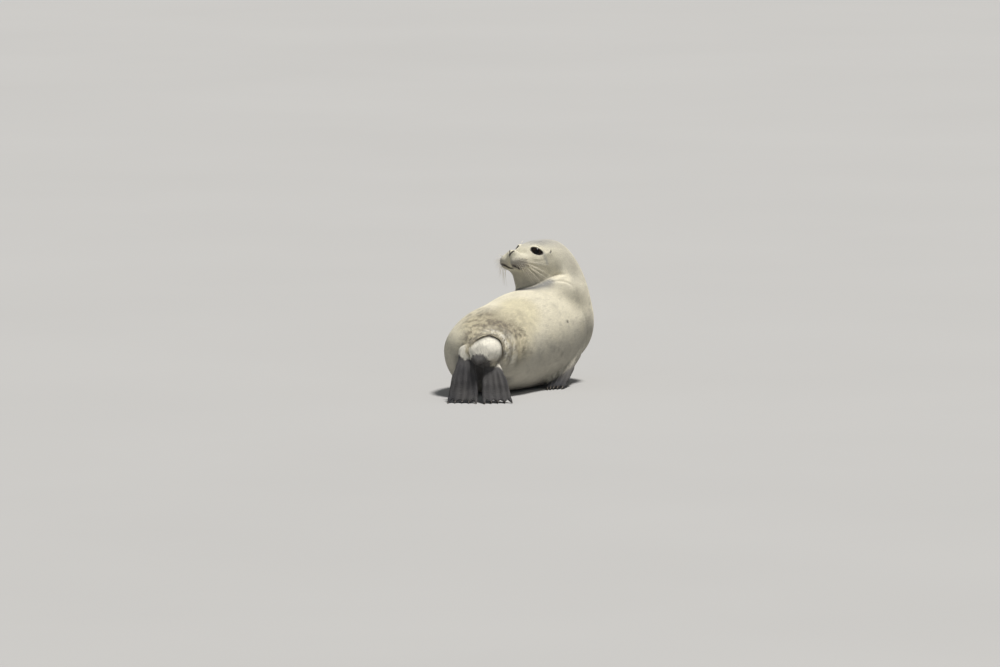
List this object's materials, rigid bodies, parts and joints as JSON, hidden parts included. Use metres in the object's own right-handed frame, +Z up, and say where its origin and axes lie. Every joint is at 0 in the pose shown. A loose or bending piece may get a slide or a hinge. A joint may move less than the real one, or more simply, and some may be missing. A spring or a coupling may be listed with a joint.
{
  "type": "harbor seal",
  "caption": "Life-size museum-style model of a young harbor seal hauled out on its belly, head raised and turned to look back, flippers resting on the floor.",
  "frame": {"origin": "middle of the seal's footprint on the floor", "axes": "+Z up; +Y from the hind flippers towards the chest; +X towards the side the raised head's cheek and chest bulge lie on"},
  "size_m": [0.4114, 0.7013, 0.3872],
  "materials": {
    "coat": "short dry fur, cream to straw with grey-brown speckles over the rump and a pale grey crown",
    "flipper_coat": "very short grey-brown fur over webbed skin",
    "eye": "wet gloss, almost black",
    "claw": "dark smooth horn"
  },
  "bodies": {
    "root": {"head": "coat", "neck": "coat", "chest": "coat", "trunk": "coat", "rump": "coat", "tail": "coat", "fore_flipper_left": "flipper_coat", "fore_flipper_right": "flipper_coat", "hind_flipper_left": "flipper_coat", "hind_flipper_right": "flipper_coat", "eye_left": "eye", "eye_right": "eye", "claw_fore_left_1": "claw", "claw_fore_left_2": "claw", "claw_fore_left_3": "claw", "claw_fore_left_4": "claw", "claw_fore_left_5": "claw", "claw_fore_right_1": "claw", "claw_fore_right_2": "claw", "claw_fore_right_3": "claw", "claw_fore_right_4": "claw", "claw_fore_right_5": "claw", "claw_hind_left_1": "claw", "claw_hind_left_2": "claw", "claw_hind_left_3": "claw", "claw_hind_left_4": "claw", "claw_hind_left_5": "claw", "claw_hind_right_1": "claw", "claw_hind_right_2": "claw", "claw_hind_right_3": "claw", "claw_hind_right_4": "claw", "claw_hind_right_5": "claw"}
  },
  "joints": []
}
